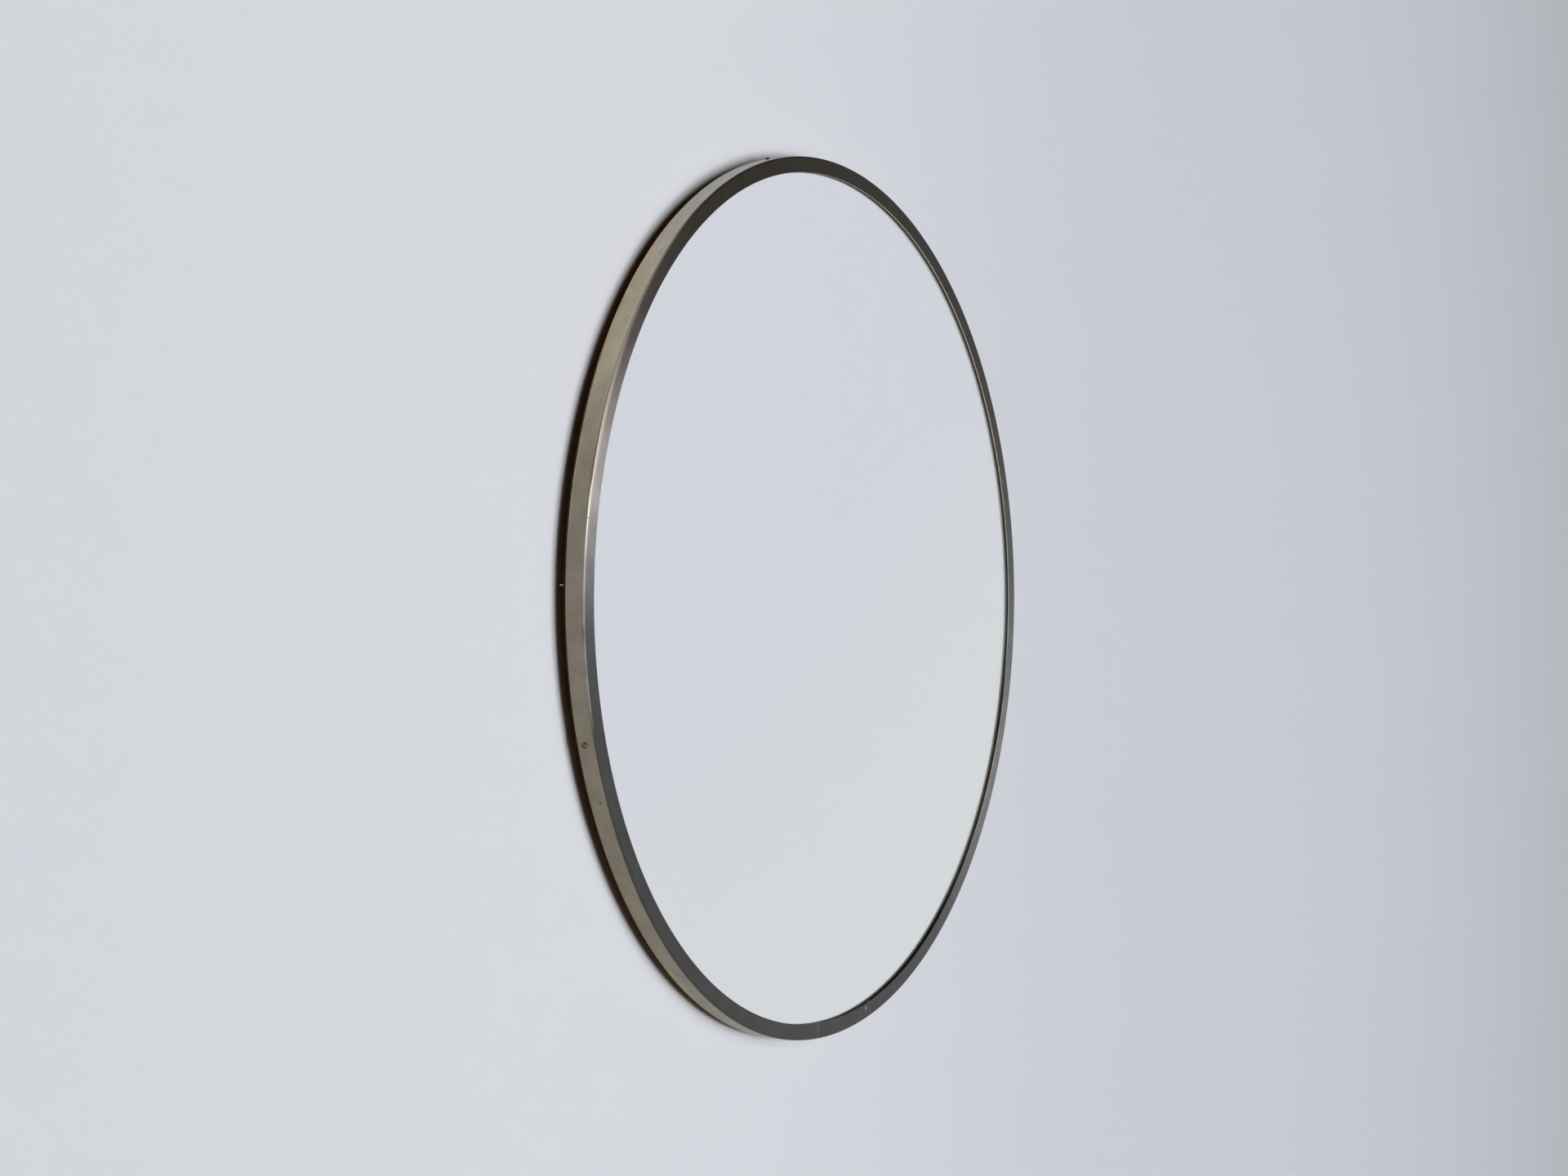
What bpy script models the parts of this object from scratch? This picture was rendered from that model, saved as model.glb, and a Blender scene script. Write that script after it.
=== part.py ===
"""Round wall mirror: a silvered glass disc in a narrow rim rolled from bronze angle.

The origin is on the wall, at the middle of the hanging cleat's back face. The mirror faces -Y, the
wall is the plane Y = 0, and +Z is up. Turned parts are drawn about the mirror's own axis, where local
Z is the distance in front of the wall and angles run anticlockwise as seen from the front, from +X.
All sizes are in metres, and angles are in degrees.
"""

import math

import bmesh
import bpy
from mathutils import Matrix, Vector

GAP = 0.0003

# Bronze rim: an equal-sided angle, its lip in front and its side running back
OUTER_RADIUS = 0.500
LIP_WIDTH = 0.0178
RIM_DEPTH = 0.0215
METAL_THICKNESS = 0.002
ARRIS_RADIUS = 0.001
EDGE_CHAMFER = 0.0003

# Glass and board behind the lip
GLASS_THICKNESS = 0.004
GLASS_CLEARANCE = 0.0012
GLASS_CHAMFER = 0.0005
BOARD_THICKNESS = 0.019
BOARD_CLEARANCE = 0.0005
BOARD_CHAMFER = 0.0006

# Strips between the board and the wall
CLEAT_THICKNESS = 0.008
CLEAT_LENGTH = 0.400
CLEAT_HEIGHT = 0.060
CLEAT_RISE = 0.220
SPACER_LENGTH = 0.300
SPACER_HEIGHT = 0.040
SPACER_DROP = 0.280
SPACER_EASING = 0.0006

# Round-head screws through the side of the rim into the edge of the board
SCREW_ANGLES = (105.0, 196.4, 285.0, 16.4)
SCREW_SLOT_TURNS = (121.0, 135.0, 75.0, 20.0)
SCREW_SET_BACK = 0.0134
SCREW_HEAD_RADIUS = 0.0034
SCREW_HEAD_HEIGHT = 0.0022
SCREW_SHANK_RADIUS = 0.00175
SCREW_SHANK_LENGTH = 0.016
SCREW_SLOT_WIDTH = 0.0009
SCREW_SLOT_DEPTH = 0.0010

# Pointed steel pin standing out of the back of the board
NAIL_ANGLE = 178.5
NAIL_EDGE_DISTANCE = 0.0055
NAIL_RADIUS = 0.0016
NAIL_TIP_LENGTH = 0.005
NAIL_WALL_CLEARANCE = 0.0018
NAIL_BURIED = 0.012

# Distances in front of the wall, worked out from the sizes above
BOARD_BACK = CLEAT_THICKNESS + GAP
BOARD_FRONT = BOARD_BACK + BOARD_THICKNESS
GLASS_BACK = BOARD_FRONT + GAP
GLASS_FRONT = GLASS_BACK + GLASS_THICKNESS
LIP_BACK = GLASS_FRONT + GAP
RIM_FRONT = LIP_BACK + METAL_THICKNESS
RIM_BACK = RIM_FRONT - RIM_DEPTH
SCREW_HEIGHT = RIM_FRONT - SCREW_SET_BACK

INNER_RADIUS = OUTER_RADIUS - METAL_THICKNESS
LIP_INNER_RADIUS = OUTER_RADIUS - LIP_WIDTH
GLASS_RADIUS = INNER_RADIUS - GLASS_CLEARANCE
BOARD_RADIUS = INNER_RADIUS - BOARD_CLEARANCE
NAIL_RING_RADIUS = OUTER_RADIUS - NAIL_EDGE_DISTANCE

# Facets round each turned shape
RING_STEPS = 128
SCREW_STEPS = 20
ARRIS_STEPS = 4
DOME_STEPS = 5
MERGE = 0.0001
SHARP_ANGLE = math.radians(35)


def clear_scene():
    """Remove every object that the scene starts with."""
    for obj in list(bpy.data.objects):
        bpy.data.objects.remove(obj, do_unlink=True)


def new_collection(name, helper=False):
    """Make a collection in the scene. A helper one is left out of renders."""
    collection = bpy.data.collections.new(name)
    bpy.context.scene.collection.children.link(collection)
    collection.hide_render = helper
    return collection


def new_material(name, colour, roughness, metallic):
    """Make a Principled material from a linear colour, a roughness and a metallic value."""
    material = bpy.data.materials.new(name)
    material.use_nodes = True
    shader = material.node_tree.nodes["Principled BSDF"]
    shader.inputs["Base Color"].default_value = (*colour, 1.0)
    shader.inputs["Roughness"].default_value = roughness
    shader.inputs["Metallic"].default_value = metallic
    material.diffuse_color = (*colour, 1.0)
    return material


def add_object(name, data, collection, material=None, parent=None):
    """Link new data to a collection as an object, with its material and parent."""
    obj = bpy.data.objects.new(name, data)
    collection.objects.link(obj)
    obj.parent = parent
    if material is not None and not data.materials:
        data.materials.append(material)
    return obj


def finish_mesh(obj):
    """Replace an object's modifiers by the mesh that they make, shaded smooth between its real edges."""
    depsgraph = bpy.context.evaluated_depsgraph_get()
    mesh = bpy.data.meshes.new_from_object(obj.evaluated_get(depsgraph), depsgraph=depsgraph)
    mesh.shade_smooth()
    mesh.set_sharp_from_angle(angle=SHARP_ANGLE)
    obj.modifiers.clear()
    obj.data = mesh


def turned_mesh(name, profile, closed):
    """Make the mesh of a profile in the local XZ plane, for a Screw modifier to turn about Z."""
    vertices = [(radius, 0.0, height) for radius, height in profile]
    edges = [(i, i + 1) for i in range(len(profile) - 1)]
    if closed:
        edges.append((len(profile) - 1, 0))
    mesh = bpy.data.meshes.new(name)
    mesh.from_pydata(vertices, edges, [])
    return mesh


def add_turning(obj, steps):
    """Turn an object's profile once round its Z axis."""
    screw = obj.modifiers.new("turning", "SCREW")
    screw.axis = "Z"
    screw.angle = math.tau
    screw.steps = steps
    screw.render_steps = steps
    screw.use_merge_vertices = True
    screw.merge_threshold = MERGE
    screw.use_smooth_shade = True


def add_cut(obj, cutter):
    """Cut one object out of another."""
    cut = obj.modifiers.new(cutter.name, "BOOLEAN")
    cut.operation = "DIFFERENCE"
    cut.solver = "EXACT"
    cut.object = cutter


def chamfered_disc_profile(radius, back, front, chamfer):
    """Return a disc's half section from the middle of its front to the middle of its back."""
    return [
        (0.0, front),
        (radius - chamfer, front),
        (radius, front - chamfer),
        (radius, back + chamfer),
        (radius - chamfer, back),
        (0.0, back),
    ]


def arc(centre, radius, start, end, steps):
    """Return points along an arc in the profile plane, from one angle to the other."""
    points = []
    for step in range(steps + 1):
        angle = math.radians(start + (end - start) * step / steps)
        points.append((centre[0] + radius * math.cos(angle), centre[1] + radius * math.sin(angle)))
    return points


def rim_profile():
    """Return the closed section of the bronze angle, running down its outer side."""
    arris_centre = (OUTER_RADIUS - ARRIS_RADIUS, RIM_FRONT - ARRIS_RADIUS)
    return [
        (LIP_INNER_RADIUS, RIM_FRONT - EDGE_CHAMFER),
        (LIP_INNER_RADIUS + EDGE_CHAMFER, RIM_FRONT),
        *arc(arris_centre, ARRIS_RADIUS, 90, 0, ARRIS_STEPS),
        (OUTER_RADIUS, RIM_BACK + EDGE_CHAMFER),
        (OUTER_RADIUS - EDGE_CHAMFER, RIM_BACK),
        (INNER_RADIUS, RIM_BACK),
        (INNER_RADIUS, LIP_BACK),
        (LIP_INNER_RADIUS, LIP_BACK),
    ]


def screw_profile():
    """Return a round-head screw's half section, from the crown of its head to its point."""
    half_width = SCREW_HEAD_RADIUS
    height = SCREW_HEAD_HEIGHT
    dome_radius = (half_width**2 + height**2) / (2 * height)
    rim_angle = math.degrees(math.asin((height - dome_radius) / dome_radius))
    points = arc((0.0, height - dome_radius), dome_radius, 90, -rim_angle, DOME_STEPS)
    points[0] = (0.0, height)
    points[-1] = (half_width, 0.0)
    tip_length = 2 * SCREW_SHANK_RADIUS
    return [
        *points,
        (SCREW_SHANK_RADIUS, 0.0),
        (SCREW_SHANK_RADIUS, tip_length - SCREW_SHANK_LENGTH),
        (0.0, -SCREW_SHANK_LENGTH),
    ]


def nail_profile():
    """Return the pin's half section, from its buried end to its point near the wall."""
    point = NAIL_WALL_CLEARANCE
    return [
        (0.0, BOARD_BACK + NAIL_BURIED),
        (NAIL_RADIUS, BOARD_BACK + NAIL_BURIED),
        (NAIL_RADIUS, point + NAIL_TIP_LENGTH),
        (0.0, point),
    ]


def add_cylinder_cutter(name, radius, length, matrix, helpers, axis):
    """Make a cylinder cutter, its length centred on the origin of the given placement."""
    shape = bmesh.new()
    bmesh.ops.create_cone(
        shape,
        cap_ends=True,
        segments=16,
        radius1=radius,
        radius2=radius,
        depth=length,
        matrix=matrix,
    )
    mesh = bpy.data.meshes.new(name)
    shape.to_mesh(mesh)
    shape.free()
    cutter = add_object(name, mesh, helpers, parent=axis)
    cutter.hide_render = True
    cutter.display_type = "WIRE"
    return cutter


def radial_placement(angle, radius, height, turn=0.0):
    """Return the placement whose local Z points out from the mirror's axis at an angle.

    Its local X points to the wall where the turn is 0, and anticlockwise round the rim at 90 degrees.
    """
    swing = Matrix.Rotation(math.radians(angle), 4, "Z")
    stand = Matrix.Rotation(math.radians(90), 4, "Y")
    roll = Matrix.Rotation(math.radians(turn), 4, "Z")
    return swing @ Matrix.Translation(Vector((radius, 0.0, height))) @ stand @ roll


def build_rim(parts, helpers, axis, material):
    """Roll the bronze angle into a ring, with a clearance hole for each screw."""
    mesh = turned_mesh("rim", rim_profile(), closed=True)
    rim = add_object("rim", mesh, parts, material, axis)
    add_turning(rim, RING_STEPS)
    for index, angle in enumerate(SCREW_ANGLES, start=1):
        placement = radial_placement(angle, OUTER_RADIUS, SCREW_HEIGHT)
        hole_radius = SCREW_SHANK_RADIUS + GAP
        hole = add_cylinder_cutter(f"rim_hole_{index}", hole_radius, 0.01, placement, helpers, axis)
        add_cut(rim, hole)


def build_glass(parts, axis, material):
    """Cut the silvered glass plate, its edge lightly ground."""
    profile = chamfered_disc_profile(GLASS_RADIUS, GLASS_BACK, GLASS_FRONT, GLASS_CHAMFER)
    mesh = turned_mesh("mirror_glass", profile, closed=False)
    glass = add_object("mirror_glass", mesh, parts, material, axis)
    add_turning(glass, RING_STEPS)


def build_board(parts, helpers, axis, material):
    """Cut the round board, with a blind hole for each screw and one for the pin."""
    profile = chamfered_disc_profile(BOARD_RADIUS, BOARD_BACK, BOARD_FRONT, BOARD_CHAMFER)
    mesh = turned_mesh("backing_board", profile, closed=False)
    board = add_object("backing_board", mesh, parts, material, axis)
    add_turning(board, RING_STEPS)
    reach = SCREW_SHANK_LENGTH - METAL_THICKNESS + 2 * GAP
    for index, angle in enumerate(SCREW_ANGLES, start=1):
        placement = radial_placement(angle, BOARD_RADIUS, SCREW_HEIGHT)
        hole_radius = SCREW_SHANK_RADIUS + GAP
        hole = add_cylinder_cutter(f"board_hole_{index}", hole_radius, 2 * reach, placement, helpers, axis)
        add_cut(board, hole)
    turn = Matrix.Rotation(math.radians(NAIL_ANGLE), 4, "Z")
    placement = turn @ Matrix.Translation(Vector((NAIL_RING_RADIUS, 0.0, BOARD_BACK)))
    depth = NAIL_BURIED + GAP
    hole = add_cylinder_cutter("nail_hole", NAIL_RADIUS + GAP, 2 * depth, placement, helpers, axis)
    add_cut(board, hole)


def build_screws(parts, helpers, axis, material):
    """Turn the slotted screws and drive one in at each of their places round the rim."""
    seat = OUTER_RADIUS + GAP
    for index, (angle, turn) in enumerate(zip(SCREW_ANGLES, SCREW_SLOT_TURNS), start=1):
        placement = radial_placement(angle, seat, SCREW_HEIGHT, turn)
        mesh = turned_mesh(f"rim_screw_{index}", screw_profile(), closed=False)
        screw = add_object(f"rim_screw_{index}", mesh, parts, material, axis)
        screw.matrix_local = placement
        add_turning(screw, SCREW_STEPS)
        shape = bmesh.new()
        size = (3 * SCREW_HEAD_RADIUS, SCREW_SLOT_WIDTH, 2 * SCREW_SLOT_DEPTH)
        bmesh.ops.create_cube(shape, size=1.0, matrix=Matrix.Diagonal((*size, 1.0)))
        slot_mesh = bpy.data.meshes.new(f"screw_slot_{index}")
        shape.to_mesh(slot_mesh)
        shape.free()
        slot = add_object(f"screw_slot_{index}", slot_mesh, helpers, parent=axis)
        slot.matrix_local = placement @ Matrix.Translation(Vector((0.0, 0.0, SCREW_HEAD_HEIGHT)))
        slot.hide_render = True
        slot.display_type = "WIRE"
        add_cut(screw, slot)


def build_nail(parts, axis, material):
    """Turn the pointed pin that stands out of the board's back at nine o'clock."""
    mesh = turned_mesh("nail", nail_profile(), closed=False)
    nail = add_object("nail", mesh, parts, material, axis)
    turn = Matrix.Rotation(math.radians(NAIL_ANGLE), 4, "Z")
    nail.matrix_local = turn @ Matrix.Translation(Vector((NAIL_RING_RADIUS, 0.0, 0.0)))
    add_turning(nail, SCREW_STEPS)


def build_cleat(parts, material):
    """Cut the hanging cleat, its lower edge bevelled so that it hooks behind one on the wall."""
    half_height = CLEAT_HEIGHT / 2
    outline = [
        (0.0, half_height),
        (-CLEAT_THICKNESS, half_height),
        (-CLEAT_THICKNESS, CLEAT_THICKNESS - half_height),
        (0.0, -half_height),
    ]
    curve = bpy.data.curves.new("hanging_cleat", "CURVE")
    curve.dimensions = "2D"
    curve.fill_mode = "BOTH"
    curve.extrude = CLEAT_LENGTH / 2
    spline = curve.splines.new("POLY")
    spline.points.add(len(outline) - 1)
    for point, (y, z) in zip(spline.points, outline):
        point.co = (y, z, 0.0, 1.0)
    spline.use_cyclic_u = True
    cleat = add_object("hanging_cleat", curve, parts, material)
    # The outline's first axis turns to world Y and its second to world Z
    cleat.rotation_euler = (math.radians(90), 0.0, math.radians(90))


def build_spacer(parts, material):
    """Cut the plain strip that keeps the bottom of the mirror as far off the wall as the top."""
    shape = bmesh.new()
    size = (SPACER_LENGTH, CLEAT_THICKNESS, SPACER_HEIGHT)
    bmesh.ops.create_cube(shape, size=1.0, matrix=Matrix.Diagonal((*size, 1.0)))
    mesh = bpy.data.meshes.new("lower_spacer")
    shape.to_mesh(mesh)
    shape.free()
    spacer = add_object("lower_spacer", mesh, parts, material)
    spacer.location = (0.0, -CLEAT_THICKNESS / 2, -CLEAT_RISE - SPACER_DROP)
    easing = spacer.modifiers.new("eased edges", "BEVEL")
    easing.width = SPACER_EASING
    easing.segments = 1


def main():
    """Build the mirror."""
    clear_scene()
    parts = new_collection("round_wall_mirror")
    helpers = new_collection("cutters", helper=True)

    bronze = new_material("patinated bronze", (0.105, 0.093, 0.072), 0.42, 1.0)
    silvered_glass = new_material("silvered glass", (0.86, 0.89, 0.89), 0.02, 1.0)
    plywood = new_material("plywood", (0.36, 0.20, 0.095), 0.75, 0.0)
    brass = new_material("dulled brass", (0.28, 0.25, 0.20), 0.35, 1.0)
    pin_steel = new_material("bright steel", (0.45, 0.44, 0.42), 0.35, 1.0)
    pine = new_material("planed pine", (0.56, 0.38, 0.20), 0.7, 0.0)

    # Local Z of the axis points from the wall to the viewer, and local Y up
    axis = bpy.data.objects.new("mirror_axis", None)
    parts.objects.link(axis)
    axis.location = (0.0, 0.0, -CLEAT_RISE)
    axis.rotation_euler = (math.radians(90), 0.0, 0.0)

    build_rim(parts, helpers, axis, bronze)
    build_glass(parts, axis, silvered_glass)
    build_board(parts, helpers, axis, plywood)
    build_screws(parts, helpers, axis, brass)
    build_nail(parts, axis, pin_steel)
    build_cleat(parts, pine)
    build_spacer(parts, pine)

    for obj in parts.objects:
        if obj.type == "MESH":
            finish_mesh(obj)


main()
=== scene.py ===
"""Round wall mirror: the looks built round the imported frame.

A plane silvered glass lies behind the narrow lip of a rim rolled from bronze angle. The rim is brushed
the long way, patinated dark on its face and paler on its side. Behind the glass is a plywood board,
held off the wall by two pine strips, with round-head screws through the rim and a steel pin in its back.
The mirror faces -Y, the wall is the plane Y = 0, and all lengths are in metres. An angle round the rim
runs anticlockwise as seen from the front, from +X, in degrees.
"""

import logging
import math
from dataclasses import dataclass, field
from enum import Enum
from typing import Any

import bmesh
import bpy
from mathutils import Matrix, Vector

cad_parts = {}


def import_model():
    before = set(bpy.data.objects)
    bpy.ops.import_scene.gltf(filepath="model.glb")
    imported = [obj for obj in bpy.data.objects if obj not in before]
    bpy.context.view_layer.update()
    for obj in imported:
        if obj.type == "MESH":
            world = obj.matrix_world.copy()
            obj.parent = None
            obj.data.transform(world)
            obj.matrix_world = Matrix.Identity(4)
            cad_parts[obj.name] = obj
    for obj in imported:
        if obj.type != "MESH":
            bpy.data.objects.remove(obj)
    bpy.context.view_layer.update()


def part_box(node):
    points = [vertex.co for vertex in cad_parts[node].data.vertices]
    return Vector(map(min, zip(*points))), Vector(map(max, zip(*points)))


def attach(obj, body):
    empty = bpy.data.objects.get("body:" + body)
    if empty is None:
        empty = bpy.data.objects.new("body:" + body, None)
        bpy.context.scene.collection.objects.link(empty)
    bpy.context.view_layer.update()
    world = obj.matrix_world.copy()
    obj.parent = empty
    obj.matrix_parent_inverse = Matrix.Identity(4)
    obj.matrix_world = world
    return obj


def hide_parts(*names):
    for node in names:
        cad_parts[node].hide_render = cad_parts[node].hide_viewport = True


Colour = tuple[float, float, float, float]
Socket = bpy.types.NodeSocket
Piece = bpy.types.Object
Material = bpy.types.Material
Shape = bmesh.types.BMesh

MM = 0.001
WELD = 0.003 * MM
# The face attribute that is 1 in the slot of a screw, where grime and painted shade make it dark
SLOT_GRIME_AND_SHADE = "slot_grime_and_shade"
# The angles in degrees above which the edges of plates, turned pieces and sawn strips stay sharp
PLATE_SHARP, TURNED_SHARP, SAWN_SHARP = 12.0, 40.0, 25.0
# Looking along +Y: the axis that sections are spun about, from the front of the mirror to the wall
INWARD = Vector((0.0, 1.0, 0.0))

log = logging.getLogger("round_wall_mirror")


class Slot(Enum):
    """The record's material slots."""

    RIM = "rim_bronze"
    GLASS = "silvered_glass"
    BOARD = "plywood"
    SCREW = "screw_brass"
    PIN = "pin_steel"
    STRIP = "pine"


def srgb(code: str) -> Colour:
    """Turn an sRGB hex colour into the linear one that shaders take.

    Args:
        code: A hash sign and six hex digits.

    Returns:
        Linear red, green and blue, and an alpha of 1.
    """
    channels = [int(code[i : i + 2], 16) / 255 for i in (1, 3, 5)]
    red, green, blue = (c / 12.92 if c <= 0.04045 else ((c + 0.055) / 1.055) ** 2.4 for c in channels)
    return (red, green, blue, 1.0)


def add_node(
    owner: Material | bpy.types.World | bpy.types.Light,
    kind: str,
    inputs: dict[str | int, Any] | None = None,
    **settings: Any,
) -> Socket | None:
    """Add a node to a shader tree, with its settings, input values and links.

    Args:
        owner: The material, world or light whose tree gets the node.
        kind: The node's type, without its ShaderNode prefix.
        inputs: The value of each input in use, or the output socket that feeds it, by name or index.
        settings: The node's own properties.

    Returns:
        The first output in use. Its node holds the others.
    """
    node = owner.node_tree.nodes.new(f"ShaderNode{kind}")
    for name, value in settings.items():
        setattr(node, name, value)
    for key, value in (inputs or {}).items():
        in_use = (s for s in node.inputs if s.enabled and s.name == key)
        socket = node.inputs[key] if isinstance(key, int) else next(in_use)
        if isinstance(value, Socket):
            owner.node_tree.links.new(value, socket)
        else:
            socket.default_value = value
    return next((s for s in node.outputs if s.enabled), None)


def new_material(name: str) -> Material:
    """Make a material with an empty node tree.

    Args:
        name: The material's name.

    Returns:
        The material.
    """
    material = bpy.data.materials.new(name)
    material.use_nodes = True
    material.node_tree.nodes.clear()
    return material


def mask(owner: Material | bpy.types.World, *fades: tuple[Socket, float, float]) -> Socket:
    """Find where several values are all past a limit, with a smooth fade at each.

    Args:
        owner: The material or world.
        fades: Each value, where its fade starts and where it is complete, in either direction.

    Returns:
        The product of the fades, from 0 to 1.
    """
    share = None
    for value, start, end in fades:
        inputs = {"Value": value, "From Min": start, "From Max": end}
        fade = add_node(owner, "MapRange", inputs, interpolation_type="SMOOTHSTEP")
        if share is not None:
            fade = add_node(owner, "Math", {0: share, 1: fade}, operation="MULTIPLY")
        share = fade
    return share


def cover(
    owner: Material | bpy.types.World,
    under: Socket | Colour,
    over: Socket | Colour,
    *fades: tuple[Socket, float, float],
) -> Socket:
    """Lay one colour over another where a mask holds.

    Args:
        owner: The material or world.
        under: The colour outside the mask.
        over: The colour inside it.
        fades: The mask's values with their limits.

    Returns:
        The colour of both together.
    """
    layers = {"Factor": mask(owner, *fades), "A": under, "B": over}
    return add_node(owner, "Mix", layers, data_type="RGBA")


def measure_off_axis(owner: Material, place: Socket, centre: Vector) -> Socket:
    """Measure how far a point is from an axis that runs from front to back.

    Args:
        owner: The material.
        place: The point.
        centre: A point on the axis.

    Returns:
        The distance.
    """
    out = add_node(owner, "VectorMath", {0: place, 1: centre}, operation="SUBTRACT")
    flat = add_node(owner, "VectorMath", {0: out, 1: Vector((1.0, 0.0, 1.0))}, operation="MULTIPLY")
    return add_node(owner, "VectorMath", {0: flat}, operation="LENGTH")


def add_piece(
    shape: Shape,
    name: str,
    material: Material,
    replaced: str | None = None,
    sharp_above: float = 50.0,
) -> Piece:
    """Turn a finished bmesh into a piece of the mirror that rides on its body.

    Args:
        shape: The piece's bmesh in the frame's coordinates, which is freed.
        name: The piece's name.
        material: The piece's finish.
        replaced: The CAD node that the piece stands for, if it has one.
        sharp_above: The angle in degrees between faces above which an edge stays sharp.

    Returns:
        The new object.
    """
    bmesh.ops.remove_doubles(shape, verts=shape.verts, dist=WELD)
    bmesh.ops.recalc_face_normals(shape, faces=shape.faces)
    mesh = bpy.data.meshes.new(name)
    shape.to_mesh(mesh)
    shape.free()
    mesh.shade_smooth()
    mesh.set_sharp_from_angle(angle=math.radians(sharp_above))
    mesh.materials.append(material)
    piece = bpy.data.objects.new(name, mesh)
    bpy.context.scene.collection.objects.link(piece)
    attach(piece, "root")
    if replaced is not None:
        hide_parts(replaced)
    log.info("%s: %d faces", name, len(mesh.polygons))
    return piece


def spin_section(shape: Shape, centre: Vector, steps: int, axis: Vector = INWARD) -> None:
    """Spin a bmesh's edges once round an axis, which runs from front to back unless another is given.

    Args:
        shape: The bmesh that holds the section.
        centre: A point on the axis.
        steps: The number of facets in the turn.
        axis: The way that the axis runs.
    """
    section = [*shape.verts, *shape.edges]
    bmesh.ops.spin(
        shape,
        geom=section,
        cent=centre,
        axis=axis,
        angle=math.tau,
        steps=steps,
        use_merge=True,
    )


def round_off(
    shape: Shape,
    parts: list[bmesh.types.BMVert] | list[bmesh.types.BMEdge],
    width: float,
    segments: int = 2,
) -> None:
    """Round the edges of a solid, or the corners of a flat outline.

    Args:
        shape: The bmesh that holds them.
        parts: The edges, or the corners.
        width: How far each rounding starts from its edge or corner.
        segments: The number of steps across each rounding.
    """
    flat = isinstance(parts[0], bmesh.types.BMVert)
    bmesh.ops.bevel(
        shape,
        geom=parts,
        offset=width,
        segments=segments,
        profile=0.5,
        affect="VERTICES" if flat else "EDGES",
        material=-1,
    )


@dataclass(frozen=True)
class Ring:
    """The mirror's own axis and the rim's outer sizes, as the frame has them.

    Attributes:
        centre: The point on the axis in the plane of the rim's front face.
        radius: The rim's outer radius.
        depth: The rim's length from front to back.
    """

    centre: Vector
    radius: float
    depth: float

    @classmethod
    def of_frame(cls) -> "Ring":
        """Read the ring from the rim's CAD node.

        Returns:
            The ring.
        """
        low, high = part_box("rim")
        middle = (low + high) / 2
        return cls(Vector((middle.x, low.y, middle.z)), (high.z - low.z) / 2, high.y - low.y)

    def outward(self, angle: float) -> Vector:
        """Return the unit vector that points out from the axis at an angle."""
        return Vector((math.cos(math.radians(angle)), 0.0, math.sin(math.radians(angle))))

    def onward(self, angle: float) -> Vector:
        """Return the unit vector that runs anticlockwise round the rim at an angle."""
        return Vector((-math.sin(math.radians(angle)), 0.0, math.cos(math.radians(angle))))

    def point(self, angle: float, radius: float, depth: float) -> Vector:
        """Return the point at an angle, a radius and a depth behind the front face."""
        return self.centre + self.outward(angle) * radius + INWARD * depth


def cut_disc(
    shape: Shape,
    ring: Ring,
    radius: float,
    front: float,
    back: float,
    steps: int,
    eased: float = 0.0,
) -> None:
    """Make a round plate on the ring's axis.

    Args:
        shape: The empty bmesh that gets the plate.
        ring: The ring whose axis the plate is centred on.
        radius: The plate's radius.
        front: The Y of its front face.
        back: The Y of its back face.
        steps: The number of facets round its edge.
        eased: The radius that its two rims are rounded to.
    """
    stand = Matrix.Rotation(math.radians(90), 4, "X")
    place = Matrix.Translation((ring.centre.x, front, ring.centre.z))
    bmesh.ops.create_circle(shape, cap_ends=True, segments=steps, radius=radius, matrix=place @ stand)
    grown = bmesh.ops.extrude_face_region(shape, geom=list(shape.faces), use_keep_orig=True)
    moved = [item for item in grown["geom"] if isinstance(item, bmesh.types.BMVert)]
    bmesh.ops.translate(shape, verts=moved, vec=(0.0, back - front, 0.0))
    if eased:
        rims = [e for e in shape.edges if len(e.link_faces) == 2 and e.calc_face_angle() > math.radians(60)]
        round_off(shape, rims, eased)


@dataclass(frozen=True)
class Spot:
    """A small mark on the rim: its angle, radius, depth behind the front face, reach and colour."""

    angle: float
    radius: float
    depth: float
    reach: float
    colour: str


@dataclass(frozen=True)
class RimPlace:
    """Where a point of the rim lies, and the noises that its marks share, as sockets of one material.

    Attributes:
        metal: The material.
        ring: The ring that the rim follows.
        centred: The point as seen from the ring's centre.
        radius: Its distance from the ring's axis.
        depth: Its distance behind the front face.
        height: Its height above the ring's centre.
        streaks: The brushing.
        mottle: The broad clouds of thick and thin patina.
        specks: The fine grain that makes the edge of a mark ragged.
    """

    metal: Material
    ring: Ring
    centred: Socket
    radius: Socket
    depth: Socket
    height: Socket
    streaks: Socket
    mottle: Socket
    specks: Socket

    def along(self, angle: float) -> Socket:
        """Measure the distance round the ring from an angle.

        Args:
            angle: The angle round the rim.

        Returns:
            The distance, which is a metre too long on the ring's other half.
        """
        shift, facing = (
            add_node(self.metal, "VectorMath", {0: self.centred, 1: way}, operation="DOT_PRODUCT")
            for way in (self.ring.onward(angle), self.ring.outward(angle))
        )
        away = add_node(self.metal, "Math", {0: shift}, operation="ABSOLUTE")
        behind = add_node(self.metal, "Math", {0: facing, 1: 0.0}, operation="LESS_THAN")
        return add_node(self.metal, "Math", {0: behind, 1: away}, operation="ADD")

    def roughen(self, distance: Socket, swing: float) -> Socket:
        """Shorten a distance unevenly by up to a swing, which makes a mark's outline ragged."""
        inputs = {0: self.specks, 1: -swing, 2: distance}
        return add_node(self.metal, "Math", inputs, operation="MULTIPLY_ADD")


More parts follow.
